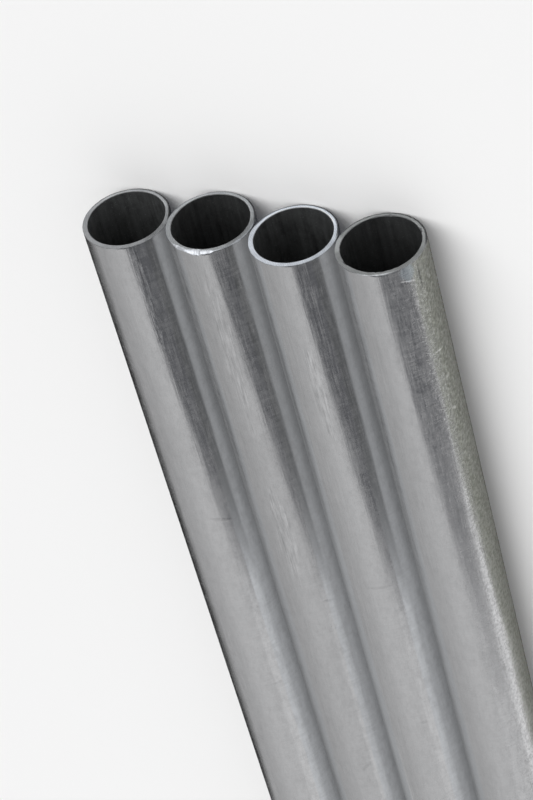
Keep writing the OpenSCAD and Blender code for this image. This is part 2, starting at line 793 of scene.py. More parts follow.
@dataclass(frozen=True)
class DrawnWall:
    """Outside of a drawn tube: satin metal with lengthwise streaks, clouding and few scratches."""

    brightness: float
    haze: float
    marks: tuple[Mark, ...]
    scuff: ScuffedSide | None = None
    tint: Shade = (0.67, 0.672, 0.682)
    roughness: float = 0.145
    anisotropy: float = 0.3
    haze_shading: float = -0.65
    patterns: ClassVar[Mapping[str, Pattern]] = {
        "broad": Streaks(1.5, 45.0),
        "fine": Streaks(0.40, 11.0, shift=7.0),
        "grain": Hatch(0.95, 5.0),
        "clouds": Clouds(8.0, 2.6, 0.44, 0.68),
        "specks": Clouds(0.9, 2.4, 0.46, 0.72, shift=3.0),
        "blotch": Clouds(1.7, 2.2, 0.40, 0.66, shift=9.0),
        "flecks": Scratches(1.5, 2.4, 0.20, 1.57, 0.6, 0.30),
        "hairlines": Scratches(7.0, 10.0, 0.15, 1.55, 0.3, 0.35, shift=2.0),
    }
    shares: ClassVar[Shares] = Shares(
        height={"broad": 0.050, "fine": 0.014, "hairlines": -0.006, "specks": 0.002},
        rough={"clouds": 0.05, "fine": 0.10, "specks": 0.04},
        haze={"broad": 0.24, "fine": 0.34, "grain": 0.62, "blotch": 0.05, "flecks": 0.09,
              "hairlines": 0.08},
        tone={"fine": 0.16, "broad": 0.06, "specks": -0.04, "clouds": -0.03, "blotch": -0.05,
              "hairlines": 0.05},
    )

    def material(self, fx: Effects, size: TubeSize, seed: float) -> bpy.types.Material:
        """Builds the material.

        Args:
            fx: the shared effects.
            size: the tube.
            seed: varies the patterns.

        Returns:
            The finished material.
        """
        metal = Metal("drawn_wall", fx, size, seed, Anisotropic=self.anisotropy)
        net = metal.net
        skin = Skin(net, self.roughness, self.haze, self.tint)
        skin.lay(Pattern.add_all(metal, self.patterns), self.shares, self.brightness)
        if self.scuff:
            self.scuff.lay(metal, skin)
        swings = Pattern.add_all(metal, Mark.swings)
        for number, mark in enumerate(self.marks):
            mark.lay(metal, skin, swings, number)
        haze = net.node("Clamp", skin.haze).outputs[0]
        shading = net.grey(net.math("MULTIPLY_ADD", haze, self.haze_shading, 1.0))
        net.feed(metal.shader.inputs["Metallic"], net.math("SUBTRACT", 1.0, haze))
        tangent = net.node("Tangent", direction_type="UV_MAP", uv_map=SURFACE_MAP)
        net.feed(metal.shader.inputs["Tangent"], tangent.outputs[0])
        return metal.finish(net.vector("MULTIPLY", skin.colour, shading), skin.rough, skin.height)


# ---------------------------------------------------------------------------------------------
# Finishes of the cut and the bore


@dataclass(frozen=True)
class SawnRing:
    """A sawn end: fine arcs from the blade on bare metal, paler where it faces down, with painted
    shade on its lower rim, a painted highlight on its lower lip and a painted shadow where the
    neighbouring tube shades it.

    The paler and the shaded spans are how far a place faces up where each starts and where it is
    full. The rim and the lip are the same in millimetres from the outside and from the bore. A
    shadow patch below 0 is a paler place instead.
    """

    tint: Shade
    roughness: float
    shadow_patch: float
    smear_angle: float = 178.0
    smear_half: Span = (11.0, 6.0)
    smear_ragged: float = 0.6
    scour: float = 0.40
    relief: float = 0.010
    scoured: Span = (0.15, -0.65)
    grimed: Span = (0.0, -0.30)
    rim: Span = (0.62, 0.45)
    lip: Span = (0.55, 0.30)
    tone: float = 0.75
    arcs_rough: float = 0.12
    patterns: ClassVar[Mapping[str, Pattern]] = {
        "arcs": SawArcs(0.55, 90.0),
        "clouds": Clouds(3.0, 1.0, 0.35, 0.7),
    }
    # In these tones the dark lower rim is painted shade and the lighter lower lip a painted highlight.
    tones: ClassVar[Weights] = {"arcs": 0.28, "clouds": 0.20, "lip_highlight": 0.24, "grime_and_shade": -0.82}

    def material(self, fx: Effects, size: TubeSize, seed: float) -> bpy.types.Material:
        """Builds the material.

        Args:
            fx: the shared effects.
            size: the tube.
            seed: varies the patterns.

        Returns:
            The finished material.
        """
        metal = Metal("sawn_ring", fx, size, seed)
        net = metal.net
        patterns = Pattern.add_all(metal, self.patterns)
        up = metal.facing(0.0, 1.0)
        radius = net.part(metal.surface, "Y")
        rim = net.step(radius, *(size.outer_r * PER_MM - inset for inset in self.rim))
        lip = net.step(radius, *(size.bore_r * PER_MM + inset for inset in self.lip))
        middle = (size.arc(self.smear_angle), (size.outer_r + size.bore_r) / 2 * PER_MM)
        # Paler where it faces down.
        below = patterns["below"] = net.step(up, *self.scoured)
        # Painted highlight on the lower lip.
        patterns["lip_highlight"] = net.math("MULTIPLY", lip, below)
        # Painted shade on the lower rim, for the shaded floor that it mirrors.
        patterns["grime_and_shade"] = net.math("MULTIPLY", rim, net.step(up, *self.grimed))
        # Painted shadow where the neighbouring tube shades the cut; below 0 it is a paler place.
        patterns["shadow_patch"] = metal.window(metal.surface, middle, self.smear_half, self.smear_ragged, 0.0)
        tones = {**self.tones, "below": self.scour, "shadow_patch": -self.shadow_patch}
        colour = net.vector("MULTIPLY", net.grey(net.weigh(self.tone, patterns, tones)), self.tint)
        rough = net.weigh(self.roughness, patterns, {"arcs": self.arcs_rough})
        return metal.finish(colour, rough, net.weigh(0.0, patterns, {"arcs": self.relief}))


@dataclass(frozen=True)
class BrokenEdge:
    """The deburred edges of a cut: scraped metal outside, duller metal inside, and painted shade on
    the lower outside edge, for the shaded floor that it mirrors.

    A scraped tint stands where the edge faces a direction, over the span given.
    """

    outer_tint: Shade = (0.30, 0.305, 0.315)
    inner_tint: Shade = (0.20, 0.205, 0.21)
    roughness: float = 0.38
    scraped_tint: Shade | None = None
    scraped_towards: Span = (-0.035, 1.0)
    scraped: Span = (0.74, 0.86)
    grimed: Span = (-0.05, -0.35)
    grime_and_shade: float = 0.80
    tone: float = 1.12
    clouds: ClassVar[Pattern] = Clouds(0.9, 1.0, 0.36, 0.66, shift=1.0)
    clouds_tone: float = -0.30
    clouds_rough: float = 0.10
    clouds_height: float = 0.012
    change: float = 0.1

    def material(self, fx: Effects, size: TubeSize, seed: float) -> bpy.types.Material:
        """Builds the material.

        Args:
            fx: the shared effects.
            size: the tube.
            seed: varies the patterns.

        Returns:
            The finished material.
        """
        metal = Metal("broken_edge", fx, size, seed)
        net = metal.net
        middle = (size.outer_r + size.bore_r) / 2 * PER_MM
        outside = net.step(net.part(metal.surface, "Y"), middle - self.change, middle + self.change)
        clouds = self.clouds.add(metal)
        outer = self.outer_tint
        if self.scraped_tint:
            share = net.step(metal.facing(*self.scraped_towards), *self.scraped)
            outer = net.mix(share, outer, self.scraped_tint)
        tint = net.mix(outside, self.inner_tint, outer)
        # Darker on the lower outside edge: painted shade for the shaded floor that it mirrors.
        grimed = net.math("MULTIPLY", net.step(metal.facing(0.0, 1.0), *self.grimed), outside)
        unshaded = net.math("MULTIPLY_ADD", grimed, -self.grime_and_shade, 1.0)
        tone = net.math("MULTIPLY", net.math("MULTIPLY_ADD", clouds, self.clouds_tone, self.tone), unshaded)
        rough = net.math("MULTIPLY_ADD", clouds, self.clouds_rough, self.roughness)
        height = net.math("MULTIPLY", clouds, self.clouds_height)
        return metal.finish(net.vector("MULTIPLY", tint, net.grey(tone)), rough, height)


@dataclass(frozen=True)
class BoreSkin:
    """Inside of a drawn tube: dull grey with lengthwise plug lines and drawing residue."""

    grey: float
    tint: Shade = (0.965, 1.0, 1.01)
    metallic: float = 0.6
    roughness: float = 0.36
    tone: float = 0.95
    patterns: ClassVar[Mapping[str, Pattern]] = {
        "lines": Streaks(1.4, 30.0, shift=20.0),
        "residue": Clouds(3.5, 1.5, 0.4, 0.68, shift=23.0),
        "dust": Clouds(0.42, 1.0, 0.60, 0.68, shift=27.0),
    }
    tones: ClassVar[Weights] = {"lines": 1.4, "residue": -0.35, "dust": 0.9}
    roughs: ClassVar[Weights] = {"residue": 0.2}
    heights: ClassVar[Weights] = {"lines": 0.02}

    def material(self, fx: Effects, size: TubeSize, seed: float) -> bpy.types.Material:
        """Builds the material.

        Args:
            fx: the shared effects.
            size: the tube.
            seed: varies the patterns.

        Returns:
            The finished material.
        """
        metal = Metal("bore_skin", fx, size, seed, Metallic=self.metallic)
        net = metal.net
        patterns = Pattern.add_all(metal, self.patterns)
        tint = tuple(self.grey * share for share in self.tint)
        colour = net.vector("MULTIPLY", net.grey(net.weigh(self.tone, patterns, self.tones)), tint)
        rough = net.weigh(self.roughness, patterns, self.roughs)
        return metal.finish(colour, rough, net.weigh(0.0, patterns, self.heights))


Finish = DrawnWall | BrokenEdge | SawnRing | BoreSkin


# ---------------------------------------------------------------------------------------------
# Tube


class Zone(Enum):
    """Stretches of the wall section, with the material slot of each."""

    WALL = 0
    EDGE = 1
    RING = 2
    BORE = 3


@dataclass(frozen=True)
class Burr:
    """A stretch of edge that deburring left ragged: its middle and half width are in degrees."""

    middle: float
    half_width: float
    extra: float
    rough: float = 0.5

    def shape(self, theta: np.ndarray, noise: np.ndarray) -> np.ndarray:
        """Extra width of the edge: a smooth hump over its stretch, broken up by noise.

        Args:
            theta: angles round the tube.
            noise: noise at those angles, about 0 and within 1.

        Returns:
            Extra width in metres at each angle.
        """
        away = np.abs((theta - math.radians(self.middle) + math.pi) % math.tau - math.pi)
        hump = np.clip(1 - (away / math.radians(self.half_width)) ** 2, 0, None)
        return self.extra * np.sqrt(hump) * (1 + self.rough * noise)


@dataclass(frozen=True)
class Cut:
    """One sawn and deburred end.

    Flat is how far its edge breaks are from a quarter circle to its chord, and lean is how far
    the cut slopes for each metre across and up.
    """

    outer_break: float = 0.16 * MM
    inner_break: float = 0.16 * MM
    flat: float = 0.3
    lean: Span = (0.0, 0.0)
    uneven: float = 0.25
    outer_burrs: tuple[Burr, ...] = ()
    inner_burrs: tuple[Burr, ...] = ()


@dataclass
class Tube:
    """One tube: its section with broken edges, carried round its axis.

    Each ripple of an edge is its fewest and most waves round the tube, and its share of the width.
    """

    size: TubeSize
    near: Cut
    far: Cut
    seed: int
    around: int = 384
    skin_inset: float = 0.035 * MM
    waviness: float = 0.012 * MM
    wave_lobes: tuple[int, ...] = (2, 3, 5, 7)
    wave_lengths: Span = (60.0, 240.0)
    ripples: tuple[tuple[int, int, float], ...] = ((3, 17, 0.5), (25, 50, 0.35), (70, 150, 0.3))
    ripple_sizes: Span = (0.4, 1.0)
    narrowest: float = 0.3
    lean_reach: float = 6.0 * MM
    break_rows: int = 6
    ring_rows: int = 8
    first_step: float = 0.35 * MM
    growth: float = 1.09
    longest_step: float = 9.0 * MM

    @property
    def name(self) -> str:
        """Name of the finished piece."""
        return f"{self.size.node}_finished"

    def graded(self, length: float) -> np.ndarray:
        """Places along a wall, as shares of its length.

        From both ends each step is growth times the one before, up to the longest.

        Args:
            length: the wall's length.

        Returns:
            Rising shares from 0 to 1.
        """
        count = int(math.log(self.longest_step / self.first_step) / math.log(self.growth))
        steps = self.first_step * self.growth ** np.arange(count)
        middle = length - 2 * steps.sum()
        even = np.full(round(middle / self.longest_step), 1.0)
        steps = np.concatenate([steps, even * middle / len(even), steps[::-1]])
        return np.concatenate([[0.0], np.cumsum(steps)]) / steps.sum()

    def ripple(self, theta: np.ndarray, fewest: int, most: int, rng: np.random.Generator) -> np.ndarray:
        """Noise that closes on itself round the tube: cosines of whole wave counts at random phases.

        Args:
            theta: angles round the tube.
            fewest: smallest number of waves.
            most: largest number of waves.
            rng: source of the phases.

        Returns:
            Noise about 0, mostly within 1.
        """
        waves = np.arange(fewest, most + 1)[:, None]
        phases = rng.uniform(0, math.tau, waves.shape)
        sizes = rng.uniform(*self.ripple_sizes, waves.shape)
        return (sizes * np.cos(waves * theta + phases)).sum(0) / np.sqrt((sizes ** 2).sum())

    def edges(self, cut: Cut, theta: np.ndarray, rng: np.random.Generator) -> list[np.ndarray]:
        """Width of the outer and the inner edge break at each angle.

        Args:
            cut: the end.
            theta: angles round the tube.
            rng: source of the unevenness.

        Returns:
            Two arrays of widths in metres.
        """
        widths = []
        for base, burrs in ((cut.outer_break, cut.outer_burrs), (cut.inner_break, cut.inner_burrs)):
            slow, quick, fine = (share * self.ripple(theta, fewest, most, rng)
                                 for fewest, most, share in self.ripples)
            broad = slow + quick
            width = base * (1 + cut.uneven * (broad + fine))
            for burr in burrs:
                width = width + burr.shape(theta, broad)
            widths.append(np.clip(width, self.narrowest * base, None))
        return widths

    def wall_rows(self, radius: float, near_width: np.ndarray, far_width: np.ndarray) -> Rows:
        """A straight stretch of the section, from the near edge break to the far one.

        Args:
            radius: its radius.
            near_width: how wide the near edge break is at each angle.
            far_width: how wide the far one is.

        Returns:
            Its radii and its distances from the near cut, one row each.
        """
        shares = self.graded(self.size.length)[:, None]
        along = near_width + shares * (self.size.length - near_width - far_width)
        return np.full_like(along, radius), along

    def end_rows(self, cut: Cut, outer: np.ndarray, inner: np.ndarray) -> list[Rows]:
        """One end of the section, inward from the outer edge break over the ring to the inner one.

        The ring is straight. An edge break lies between a quarter circle and its chord.

        Args:
            cut: the end.
            outer: how wide the outer edge break is at each angle.
            inner: how wide the inner one is.

        Returns:
            The radii and the distances from the cut of the three stretches, one row each.
        """
        outer_r = self.size.outer_r - self.skin_inset
        bore_r = self.size.bore_r
        share = np.linspace(0, 1, self.break_rows + 1)[:, None]
        ring = np.linspace(0, 1, self.ring_rows + 1)[:, None]
        sine = (1 - cut.flat) * np.sin(share * math.pi / 2) + cut.flat * share
        cosine = sine[::-1]
        return [
            (outer_r - outer * (1 - cosine), outer * (1 - sine)),
            (outer_r - outer + ring * (bore_r + inner - outer_r + outer), 0 * ring * inner),
            (bore_r + inner * (1 - sine), inner * (1 - cosine)),
        ]

    def section(self, theta: np.ndarray, rng: np.random.Generator) -> tuple[np.ndarray, ...]:
        """The closed wall section at every angle: along the wall, over the far end, back and round.

        Args:
            theta: angles round the tube.
            rng: source of the unevenness.

        Returns:
            Radii and distances from the near cut, one row each, and each row's zone.
        """
        near_out, near_in = self.edges(self.near, theta, rng)
        far_out, far_in = self.edges(self.far, theta, rng)
        wall = self.wall_rows(self.size.outer_r - self.skin_inset, near_out, far_out)
        bore = self.wall_rows(self.size.bore_r, near_in, far_in)
        near_rows = self.end_rows(self.near, near_out, near_in)
        far_rows = self.end_rows(self.far, far_out, far_in)
        far = [(radii, self.size.length - depth) for radii, depth in far_rows]
        back = [(radii[::-1], along[::-1]) for radii, along in (bore, *reversed(near_rows))]
        stretches = (wall, *far, *back)
        end = (Zone.EDGE, Zone.RING, Zone.EDGE)
        zones = [zone.value for zone in (Zone.WALL, *end, Zone.BORE, *end)]
        counts = [len(radii) - 1 for radii, _ in stretches]
        radii = np.concatenate([rows[:-1] for rows, _ in stretches])
        along = np.concatenate([rows[:-1] for _, rows in stretches])
        return radii, along, np.repeat(zones, counts)

    def bends(self, theta: np.ndarray, along: np.ndarray, rng: np.random.Generator) -> np.ndarray:
        """Long shallow waves that drawing and straightening leave in a wall.

        The depth is a sum of products of a cosine round the tube and a cosine along it.

        Args:
            theta: angles round the tube.
            along: distances from the near cut, one row each.
            rng: source of the waves.

        Returns:
            How far the surface lies inside the true radius, never less than 0.
        """
        depth = np.zeros_like(along)
        for lobes in self.wave_lobes:
            wave_length = rng.uniform(*self.wave_lengths) * MM
            phases = rng.uniform(0, math.tau, 2)
            depth += np.cos(lobes * theta + phases[0]) * np.cos(math.tau * along / wave_length + phases[1])
        return self.waviness * (1 + depth / len(self.wave_lobes))

    def mesh(self) -> bpy.types.Mesh:
        """Builds the closed surface: a grid that wraps round the axis and round the section.

        A point lies its radius times the cosine of its angle across from the axis, and times the
        sine above it. A leaning cut moves the points near it along the tube, in step with how far
        across and up they are.

        Returns:
            The mesh, in the row's frame, with its surface map and each face's material index.
        """
        rng = np.random.default_rng(self.seed)
        theta = np.linspace(0, math.tau, self.around, endpoint=False) - math.radians(SEAM_BELOW)
        radii, along, zones = self.section(theta, rng)
        radii = radii - self.bends(theta, along, rng)
        across, up = self.near.lean
        tilt = (across * np.cos(theta) + up * np.sin(theta)) * radii
        tilt += math.hypot(across, up) * self.size.outer_r
        x = self.size.axis[0] + radii * np.cos(theta)
        y = self.size.near_y + along + tilt * np.clip(1 - along / self.lean_reach, 0, 1)
        z = self.size.axis[1] + radii * np.sin(theta)
        rows = len(zones)
        row, column = np.meshgrid(np.arange(rows), np.arange(self.around), indexing="ij")
        next_row, next_column = (row + 1) % rows, (column + 1) % self.around
        corners = np.stack([row * self.around + column, row * self.around + next_column,
                            next_row * self.around + next_column, next_row * self.around + column], -1)
        on_cut = np.isin(zones, (Zone.RING.value, Zone.EDGE.value))
        depth = np.where(on_cut[:, None], radii, along).mean(1)
        return self.filled(np.stack([x, y, z], -1), corners, zones, depth)

    def filled(self, points: np.ndarray, corners: np.ndarray, zones: np.ndarray,
               depth: np.ndarray) -> bpy.types.Mesh:
        """Puts the grid into a mesh, and maps it by the distance round the tube and the depth.

        Args:
            points: grid of points.
            corners: grid of four point numbers for each face.
            zones: zone of each row of faces.
            depth: each row's place along the section, for the surface map.

        Returns:
            The mesh.
        """
        rows, around = points.shape[:2]
        mesh = bpy.data.meshes.new(self.name)
        mesh.vertices.add(rows * around)
        mesh.vertices.foreach_set("co", points.astype(np.float32).ravel())
        mesh.loops.add(rows * around * 4)
        mesh.loops.foreach_set("vertex_index", corners.astype(np.int32).ravel())
        mesh.polygons.add(rows * around)
        mesh.polygons.foreach_set("loop_start", np.arange(0, rows * around * 4, 4, dtype=np.int32))
        mesh.polygons.foreach_set("material_index", np.repeat(zones, around).astype(np.int32))
        mesh.polygons.foreach_set("use_smooth", np.ones(rows * around, bool))
        arc = np.arange(around + 1) * math.tau / around * self.size.outer_r
        next_depth = np.where(np.roll(zones, -1) == zones, np.roll(depth, -1), depth)
        first, last = (np.tile(edge, (rows, 1)) for edge in (arc[:-1], arc[1:]))
        this_row, that_row = (np.repeat(level[:, None], around, 1) for level in (depth, next_depth))
        places = np.stack([first, this_row, last, this_row, last, that_row, first, that_row], -1)
        layer = mesh.uv_layers.new(name=SURFACE_MAP)
        layer.data.foreach_set("uv", places.astype(np.float32).ravel())
        mesh.update()
        mesh.validate()
        return mesh

    def build(self, materials: Iterable[bpy.types.Material]) -> bpy.types.Object:
        """Makes the finished tube, which stands for its CAD node.

        Args:
            materials: wall, edge, ring and bore materials, in the order of the zones.

        Returns:
            The tube's object.
        """
        mesh = self.mesh()
        for material in materials:
            mesh.materials.append(material)
        made = add_object(self.name, mesh)
        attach(made, "root")
        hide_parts(self.size.node)
        return made


# ---------------------------------------------------------------------------------------------
# Row


@dataclass(frozen=True)
class TubeStyle:
    """How one tube was sawn and worn."""

    cut: Cut
    wall: DrawnWall
    edge: BrokenEdge
    ring: SawnRing
    bore: BoreSkin


HEEL = Burr(275, 88, 0.30 * MM, 0.10)
RUB, DRAG, PRESS, BLUE_GLINT, NICK, SCORE = MarkKind


class TubeKind(Enum):
    """The row's tubes, by how each near cut came off the saw."""

    CLEAN = TubeStyle(
        Cut(lean=(0.002, 0.004), outer_burrs=(HEEL,)),
        DrawnWall(brightness=1.01, haze=0.035, marks=(
            Mark(RUB, 124, 16, 1.6, 30), Mark(DRAG, 122, 26, 1.6, 44),
            Mark(PRESS, 129, 110, 4.6, 0.8, 0.45), Mark(PRESS, 134, 185, 1.9, 0.7))),
        BrokenEdge(),
        SawnRing((0.34, 0.35, 0.36), roughness=0.34, shadow_patch=0.30),
        BoreSkin(grey=0.134))
    ROLLED = TubeStyle(
        Cut(flat=0.65, lean=(-0.003, 0.003), uneven=0.30, outer_burrs=(
            HEEL, Burr(102, 18, 0.72 * MM, 0.26), Burr(80, 21, 0.46 * MM, 0.30),
            Burr(152, 6, 0.15 * MM, 0.8))),
        DrawnWall(brightness=0.96, haze=0.075, marks=(
            Mark(RUB, 103, 33, 2.8, 36), Mark(RUB, 104, 112, 3.2, 26),
            Mark(PRESS, 136, 143, 2.4, 0.7, 0.2), Mark(PRESS, 121, 220, 2.2, 1.0, -0.6))),
        BrokenEdge(outer_tint=(0.40, 0.42, 0.45), roughness=0.28, scraped_tint=(0.78, 0.81, 0.86)),
        SawnRing((0.35, 0.365, 0.375), roughness=0.36, shadow_patch=0.32),
        BoreSkin(grey=0.082))
    BRIGHT = TubeStyle(
        Cut(outer_break=0.12 * MM, lean=(0.004, -0.002), outer_burrs=(HEEL,)),
        DrawnWall(brightness=1.01, haze=0.040, marks=(
            Mark(DRAG, 127, 20, 2.4, 44), Mark(RUB, 104, 48, 2.4, 24),
            Mark(PRESS, 112, 128, 4.6, 0.6), Mark(PRESS, 122, 190, 1.8, 0.8))),
        BrokenEdge(outer_tint=(0.40, 0.42, 0.45), inner_tint=(0.30, 0.31, 0.33)),
        SawnRing((0.63, 0.67, 0.73), roughness=0.28, shadow_patch=0.12, scour=0.30, relief=0.014),
        BoreSkin(grey=0.120))
    RAGGED = TubeStyle(
        Cut(inner_break=0.2 * MM, lean=(0.002, -0.003), uneven=0.5, inner_burrs=(
            Burr(285, 7, 0.30 * MM, 0.8), Burr(220, 5, 0.3 * MM, 0.9), Burr(55, 6, 0.3 * MM, 0.9),
            Burr(120, 30, 0.12 * MM, 0.9)), outer_burrs=(HEEL, Burr(112, 20, 0.16 * MM, 0.8))),
        DrawnWall(brightness=1.0, haze=0.070, marks=(
            Mark(BLUE_GLINT, 145, 2.2, 2.6, 3.6, 0.3), Mark(NICK, 145, 5.3, 2.6, 0.40, 0.45),
            Mark(SCORE, 162.5, 7, 0.42, 5.0), Mark(NICK, 163, 33.7, 3.1, 0.30, 0.09),
            Mark(NICK, 170, 44, 0.8, 0.9), Mark(NICK, 168, 56, 0.8, 0.8)), scuff=ScuffedSide()),
        BrokenEdge(scraped_tint=(0.62, 0.64, 0.66), scraped_towards=(-0.26, 0.966), scraped=(0.88, 0.97)),
        SawnRing((0.265, 0.275, 0.275), roughness=0.40, shadow_patch=-0.50, smear_angle=14.0,
                 smear_half=(4.0, 6.0)),
        BoreSkin(grey=0.080))


@dataclass
class TubeRow:
    """The four tubes, from the +X side to the -X side."""

    kinds: tuple[TubeKind, ...] = tuple(TubeKind)
    seed_step: float = 3.7

    def build(self, fx: Effects) -> None:
        """Builds and dresses every tube.

        Args:
            fx: the shared effects.
        """
        mounts = frame["record"]["mounts"]
        bores = {mount["name"]: mount["dims"]["r_mm"] * MM for mount in mounts if mount["kind"] == "bore"}
        for number, kind in enumerate(self.kinds, start=1):
            style: TubeStyle = kind.value
            size = TubeSize.of_node(f"tube_{number}", bores[f"bore_{number}"])
            finishes: tuple[Finish, ...] = (style.wall, style.edge, style.ring, style.bore)
            materials = [finish.material(fx, size, self.seed_step * number) for finish in finishes]
            made = Tube(size, style.cut, Cut(), number).build(materials)
            LOG.info("%s: %d faces", made.name, len(made.data.polygons))


# ---------------------------------------------------------------------------------------------
# Studio


@dataclass(frozen=True)
class Card:
    """A studio card that only reflections show: a grid of points, with a shade at each or for all.

    A one-sided card is clear when seen from behind.
    """

    name: str
    points: np.ndarray
    shades: np.ndarray
    one_sided: bool = False

    def build(self) -> None:
        """Makes the card, lit by nothing, in its own blended shades."""
        rows, columns = self.points.shape[:2]
        number = np.arange(rows * columns).reshape(rows, columns)
        corners = np.stack([number[:-1, :-1], number[1:, :-1], number[1:, 1:], number[:-1, 1:]], -1)
        mesh = bpy.data.meshes.new(self.name)
        mesh.from_pydata(self.points.reshape(-1, 3).tolist(), [], corners.reshape(-1, 4).tolist())
        layer = mesh.color_attributes.new("shade", "FLOAT_COLOR", "POINT")
        shades = np.broadcast_to(self.shades, self.points.shape).reshape(-1, 3)
        opaque = np.insert(shades, 3, 1.0, axis=1)
        layer.data.foreach_set("color", opaque.astype(np.float32).ravel())
        mesh.materials.append(self.material())
        made = add_object(self.name, mesh)
        made.visible_camera = made.visible_diffuse = made.visible_shadow = False

    def material(self) -> bpy.types.Material:
        """Makes the card's material: its shades as light, and clear behind if it is one-sided.

        Returns:
            The material.
        """
        material = bpy.data.materials.new(self.name)
        net = Network.of(material)
        shade = net.node("Attribute", attribute_name="shade").outputs["Color"]
        surface = net.node("Emission", shade).outputs[0]
        if self.one_sided:
            behind = net.node("NewGeometry").outputs["Backfacing"]
            clear = net.node("BsdfTransparent").outputs[0]
            surface = net.node("MixShader", behind, surface, clear).outputs[0]
        net.node("OutputMaterial", surface)
        return material


@dataclass(frozen=True)
class GapSide:
    """What the flanks on one side of the gaps mirror there: grey levels by height in millimetres.

    The way is 1 for a card that faces +X and -1 for -X. Edges are how far above the tubes' axes
    height 0 lies in each gap. The near levels pass smoothly into the far ones over the stretch
    given by change, which is measured from the card's near end. Where late is given, the levels
    above height 0 pass as (distance / late[0]) ** late[1] instead, so there the near ones last
    longer.
    """

    name: str
    way: int
    edges: tuple[float, ...]
    heights: tuple[float, ...]
    near: tuple[float, ...]
    far: tuple[float, ...]
    late: Span | None = None
    tint: Shade = (0.974, 1.0, 1.024)
    change: Span = (0.060, 0.150)
    steps: int = 13
    apart: float = 0.02 * MM

    def card(self, gap: int, across: float, ends: Span) -> Card:
        """Makes the upright card for one gap.

        Args:
            gap: the gap's number.
            across: the gap's middle across the row.
            ends: the card's near and far ends.

        Returns:
            The card, as a grid of stations along the tubes by heights.
        """
        base = (CAD_BOX[0].z + CAD_BOX[1].z) / 2 + self.edges[gap - 1] * MM
        stations = np.array([0, *np.linspace(*self.change, self.steps), ends[1] - ends[0]])[:, None]
        heights = np.array(self.heights)
        y, z = np.meshgrid(ends[0] + stations, base + heights * MM, indexing="ij")
        share = np.clip((stations - self.change[0]) / (self.change[1] - self.change[0]), 0, 1)
        passed = share * share * (3 - 2 * share)
        if self.late:
            reach, power = self.late
            passed = np.where(heights > 0, np.clip(stations / reach, 0, 1) ** power, passed)
        levels = np.array(self.near) * (1 - passed) + np.array(self.far) * passed
        points = np.stack([np.full_like(y, across + self.way * self.apart), y, z], -1)
        shades = levels[..., None] * np.array(self.tint)
        return Card(f"gap_card_{gap}_{self.name}", points[::self.way], shades[::self.way], one_sided=True)


